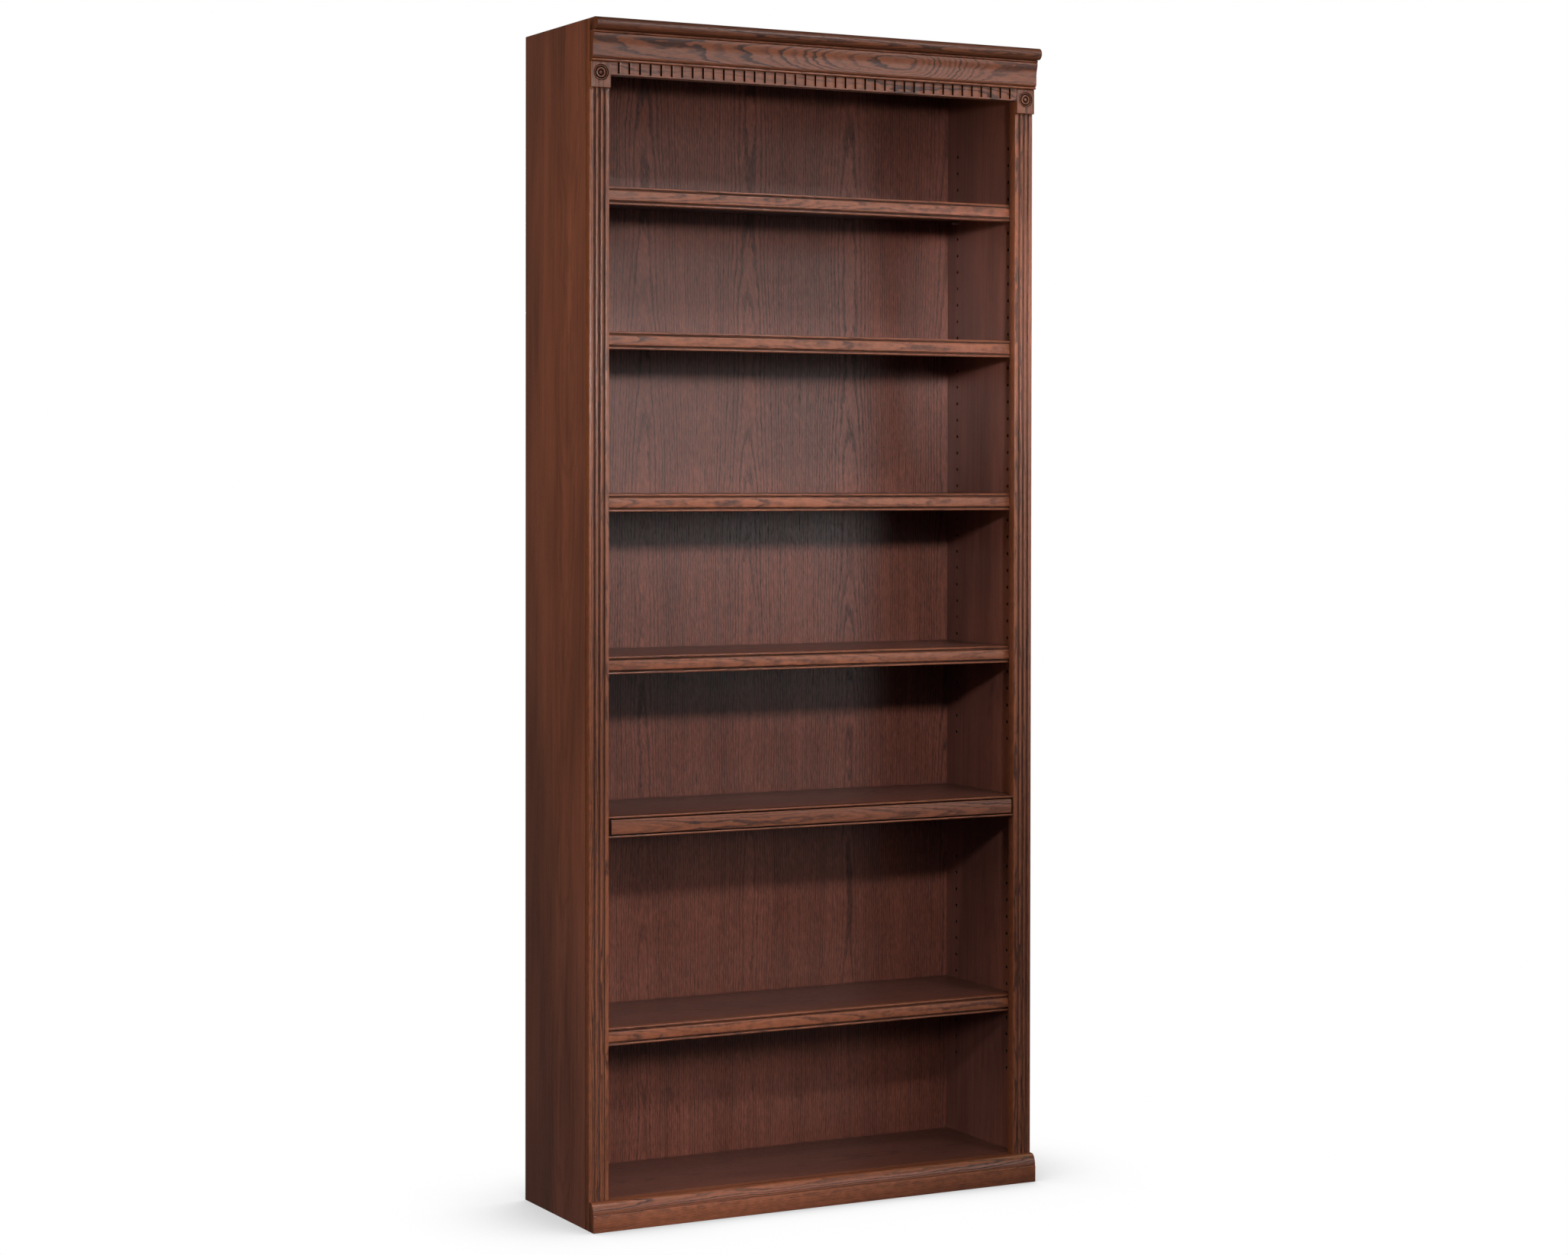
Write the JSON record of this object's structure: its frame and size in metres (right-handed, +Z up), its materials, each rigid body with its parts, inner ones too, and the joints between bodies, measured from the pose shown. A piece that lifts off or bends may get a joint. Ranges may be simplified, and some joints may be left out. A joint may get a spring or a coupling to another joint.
{
  "type": "bookcase",
  "caption": "Tall open oak bookcase with a moulded crown, dentil strip, fluted stiles, a fixed shelf and shelves on pins.",
  "frame": {"origin": "on the floor, under the middle of the case's box", "axes": "+Z up, +X to the viewer's right along the width, +Y from the open front to the back"},
  "size_m": [0.9144, 0.3174, 2.1336],
  "materials": {
    "oak_side": "stained oak veneer, satin lacquer",
    "oak_front": "stained solid oak, satin lacquer",
    "oak_inside": "stained oak veneer, satin lacquer",
    "oak_back": "stained oak plywood, thin lacquer",
    "pin_steel": "nickel-plated steel"
  },
  "bodies": {
    "case": {"side_panel_left": "oak_side", "side_panel_right": "oak_side", "top_panel": "oak_side", "stile_left": "oak_front", "stile_right": "oak_front", "top_rail": "oak_front", "bottom_rail": "oak_front", "base_board": "oak_front", "crown_cap": "oak_front", "crown_frieze": "oak_front", "dentil_moulding": "oak_front", "rosette_block_left": "oak_front", "rosette_block_right": "oak_front", "fixed_shelf_nosing": "oak_front", "bottom_shelf": "oak_inside", "fixed_shelf": "oak_inside", "rear_base_rail": "oak_inside", "base_cleat_left": "oak_inside", "base_cleat_right": "oak_inside", "back_panel": "oak_back"},
    "shelf_1": {"adjustable_shelf_1": "oak_inside", "shelf_1_nosing": "oak_front"},
    "shelf_2": {"adjustable_shelf_2": "oak_inside", "shelf_2_nosing": "oak_front"},
    "shelf_3": {"adjustable_shelf_3": "oak_inside", "shelf_3_nosing": "oak_front"},
    "shelf_4": {"adjustable_shelf_4": "oak_inside", "shelf_4_nosing": "oak_front"},
    "shelf_5": {"adjustable_shelf_5": "oak_inside", "shelf_5_nosing": "oak_front"},
    "shelf_1_pin_front_left": {"shelf_1_pin_front_left": "pin_steel"},
    "shelf_1_pin_front_right": {"shelf_1_pin_front_right": "pin_steel"},
    "shelf_1_pin_rear_left": {"shelf_1_pin_rear_left": "pin_steel"},
    "shelf_1_pin_rear_right": {"shelf_1_pin_rear_right": "pin_steel"},
    "shelf_2_pin_front_left": {"shelf_2_pin_front_left": "pin_steel"},
    "shelf_2_pin_front_right": {"shelf_2_pin_front_right": "pin_steel"},
    "shelf_2_pin_rear_left": {"shelf_2_pin_rear_left": "pin_steel"},
    "shelf_2_pin_rear_right": {"shelf_2_pin_rear_right": "pin_steel"},
    "shelf_3_pin_front_left": {"shelf_3_pin_front_left": "pin_steel"},
    "shelf_3_pin_front_right": {"shelf_3_pin_front_right": "pin_steel"},
    "shelf_3_pin_rear_left": {"shelf_3_pin_rear_left": "pin_steel"},
    "shelf_3_pin_rear_right": {"shelf_3_pin_rear_right": "pin_steel"},
    "shelf_4_pin_front_left": {"shelf_4_pin_front_left": "pin_steel"},
    "shelf_4_pin_front_right": {"shelf_4_pin_front_right": "pin_steel"},
    "shelf_4_pin_rear_left": {"shelf_4_pin_rear_left": "pin_steel"},
    "shelf_4_pin_rear_right": {"shelf_4_pin_rear_right": "pin_steel"},
    "shelf_5_pin_front_left": {"shelf_5_pin_front_left": "pin_steel"},
    "shelf_5_pin_front_right": {"shelf_5_pin_front_right": "pin_steel"},
    "shelf_5_pin_rear_left": {"shelf_5_pin_rear_left": "pin_steel"},
    "shelf_5_pin_rear_right": {"shelf_5_pin_rear_right": "pin_steel"}
  },
  "joints": [
    {"name": "shelf_1_lift", "type": "slide", "parent": "case", "child": "shelf_1", "axis": [0, 0, 1], "range_m": [0, 0.096]},
    {"name": "shelf_2_lift", "type": "slide", "parent": "case", "child": "shelf_2", "axis": [0, 0, 1], "range_m": [0, 0.096]},
    {"name": "shelf_3_lift", "type": "slide", "parent": "case", "child": "shelf_3", "axis": [0, 0, 1], "range_m": [0, 0.096]},
    {"name": "shelf_4_lift", "type": "slide", "parent": "case", "child": "shelf_4", "axis": [0, 0, 1], "range_m": [0, 0.096]},
    {"name": "shelf_5_lift", "type": "slide", "parent": "case", "child": "shelf_5", "axis": [0, 0, 1], "range_m": [0, 0.096]},
    {"name": "shelf_1_pin_front_left_pull", "type": "slide", "parent": "case", "child": "shelf_1_pin_front_left", "axis": [1, 0, 0], "range_m": [0, 0.0105]},
    {"name": "shelf_1_pin_front_right_pull", "type": "slide", "parent": "case", "child": "shelf_1_pin_front_right", "axis": [-1, 0, 0], "range_m": [0, 0.0105]},
    {"name": "shelf_1_pin_rear_left_pull", "type": "slide", "parent": "case", "child": "shelf_1_pin_rear_left", "axis": [1, 0, 0], "range_m": [0, 0.0105]},
    {"name": "shelf_1_pin_rear_right_pull", "type": "slide", "parent": "case", "child": "shelf_1_pin_rear_right", "axis": [-1, 0, 0], "range_m": [0, 0.0105]},
    {"name": "shelf_2_pin_front_left_pull", "type": "slide", "parent": "case", "child": "shelf_2_pin_front_left", "axis": [1, 0, 0], "range_m": [0, 0.0105]},
    {"name": "shelf_2_pin_front_right_pull", "type": "slide", "parent": "case", "child": "shelf_2_pin_front_right", "axis": [-1, 0, 0], "range_m": [0, 0.0105]},
    {"name": "shelf_2_pin_rear_left_pull", "type": "slide", "parent": "case", "child": "shelf_2_pin_rear_left", "axis": [1, 0, 0], "range_m": [0, 0.0105]},
    {"name": "shelf_2_pin_rear_right_pull", "type": "slide", "parent": "case", "child": "shelf_2_pin_rear_right", "axis": [-1, 0, 0], "range_m": [0, 0.0105]},
    {"name": "shelf_3_pin_front_left_pull", "type": "slide", "parent": "case", "child": "shelf_3_pin_front_left", "axis": [1, 0, 0], "range_m": [0, 0.0105]},
    {"name": "shelf_3_pin_front_right_pull", "type": "slide", "parent": "case", "child": "shelf_3_pin_front_right", "axis": [-1, 0, 0], "range_m": [0, 0.0105]},
    {"name": "shelf_3_pin_rear_left_pull", "type": "slide", "parent": "case", "child": "shelf_3_pin_rear_left", "axis": [1, 0, 0], "range_m": [0, 0.0105]},
    {"name": "shelf_3_pin_rear_right_pull", "type": "slide", "parent": "case", "child": "shelf_3_pin_rear_right", "axis": [-1, 0, 0], "range_m": [0, 0.0105]},
    {"name": "shelf_4_pin_front_left_pull", "type": "slide", "parent": "case", "child": "shelf_4_pin_front_left", "axis": [1, 0, 0], "range_m": [0, 0.0105]},
    {"name": "shelf_4_pin_front_right_pull", "type": "slide", "parent": "case", "child": "shelf_4_pin_front_right", "axis": [-1, 0, 0], "range_m": [0, 0.0105]},
    {"name": "shelf_4_pin_rear_left_pull", "type": "slide", "parent": "case", "child": "shelf_4_pin_rear_left", "axis": [1, 0, 0], "range_m": [0, 0.0105]},
    {"name": "shelf_4_pin_rear_right_pull", "type": "slide", "parent": "case", "child": "shelf_4_pin_rear_right", "axis": [-1, 0, 0], "range_m": [0, 0.0105]},
    {"name": "shelf_5_pin_front_left_pull", "type": "slide", "parent": "case", "child": "shelf_5_pin_front_left", "axis": [1, 0, 0], "range_m": [0, 0.0105]},
    {"name": "shelf_5_pin_front_right_pull", "type": "slide", "parent": "case", "child": "shelf_5_pin_front_right", "axis": [-1, 0, 0], "range_m": [0, 0.0105]},
    {"name": "shelf_5_pin_rear_left_pull", "type": "slide", "parent": "case", "child": "shelf_5_pin_rear_left", "axis": [1, 0, 0], "range_m": [0, 0.0105]},
    {"name": "shelf_5_pin_rear_right_pull", "type": "slide", "parent": "case", "child": "shelf_5_pin_rear_right", "axis": [-1, 0, 0], "range_m": [0, 0.0105]}
  ]
}
